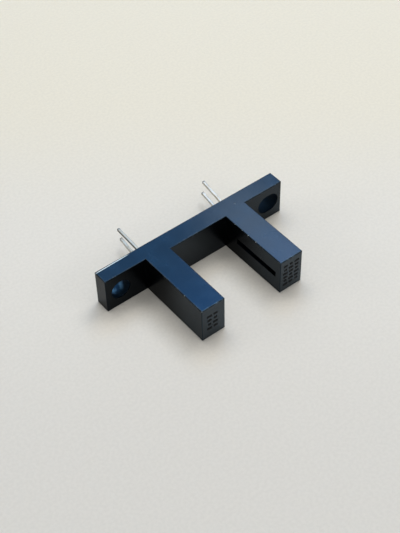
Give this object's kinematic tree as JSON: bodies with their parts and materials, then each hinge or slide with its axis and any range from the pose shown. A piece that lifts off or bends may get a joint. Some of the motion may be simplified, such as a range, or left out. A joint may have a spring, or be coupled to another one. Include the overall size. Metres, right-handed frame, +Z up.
{
  "type": "slotted optical switch",
  "caption": "Fork-shaped slotted optical switch: a dark moulded housing with hollow slit arms, screw ears and tinned leads, which senses what passes through its gap.",
  "frame": {"origin": "middle of the switch's footprint, on the surface that it lies on", "axes": "+X along the mounting bar towards the detector arm, -Y along the arms towards their tips, +Y along the leads, +Z up through the housing's thickness"},
  "size_m": [0.032, 0.0216, 0.0061],
  "materials": {
    "housing": "semi-gloss moulded plastic, dark blue-black, with fine handling marks",
    "clear_epoxy": "clear cast epoxy with a faint blue tint",
    "dark_epoxy": "dark cast epoxy that passes infrared light",
    "tinned_lead": "tinned steel, slightly dull",
    "chip": "polished semiconductor",
    "bond_gold": "drawn gold wire",
    "potting_resin": "poured black resin"
  },
  "bodies": {
    "root": {"housing": "housing", "emitter_package": "clear_epoxy", "emitter_anode_lead": "tinned_lead", "emitter_cathode_lead": "tinned_lead", "emitter_chip": "chip", "emitter_bond_wire": "bond_gold", "emitter_potting": "potting_resin", "detector_package": "dark_epoxy", "detector_emitter_lead": "tinned_lead", "detector_collector_lead": "tinned_lead", "detector_chip": "chip", "detector_bond_wire": "bond_gold", "detector_potting": "potting_resin"}
  },
  "joints": []
}
